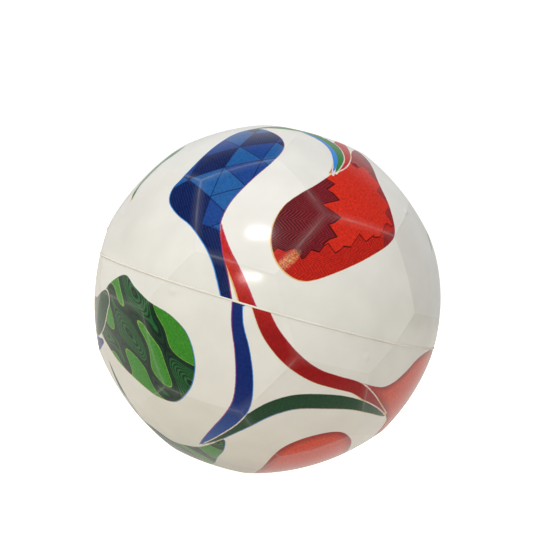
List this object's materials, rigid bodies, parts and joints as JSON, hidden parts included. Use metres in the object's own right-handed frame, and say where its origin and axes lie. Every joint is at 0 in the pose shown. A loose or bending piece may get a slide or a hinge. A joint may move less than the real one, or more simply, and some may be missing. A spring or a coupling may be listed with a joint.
{
  "type": "stress ball",
  "caption": "Squeezable foam stress ball moulded like a football, with printed film skins bonded over a soft foam core; it squashes along the axis of its mould.",
  "frame": {"origin": "centre of the ball", "axes": "+Z through the middle of the pentagon panels at the poles of the mould, so the parting line lies in z = 0; -Y through the middle of a pentagon of the upper belt; +X completes the right-handed frame"},
  "size_m": [0.063, 0.062, 0.0608],
  "materials": {
    "foam": "soft moulded polyurethane foam, off-white, matt",
    "printed_film": "thin glossy white film printed in green, red and blue, softly wrinkled by the mould"
  },
  "bodies": {
    "lower_half": {"foam_core": "foam", "lower_skin": "printed_film"},
    "upper_half": {"upper_skin": "printed_film"}
  },
  "joints": [
    {"name": "squeeze", "type": "slide", "parent": "lower_half", "child": "upper_half", "axis": [0, 0, -1], "range_m": [0, 0.02], "stiffness_N_per_m": 1500, "deforming": ["upper_skin", "lower_skin", "foam_core"]}
  ]
}
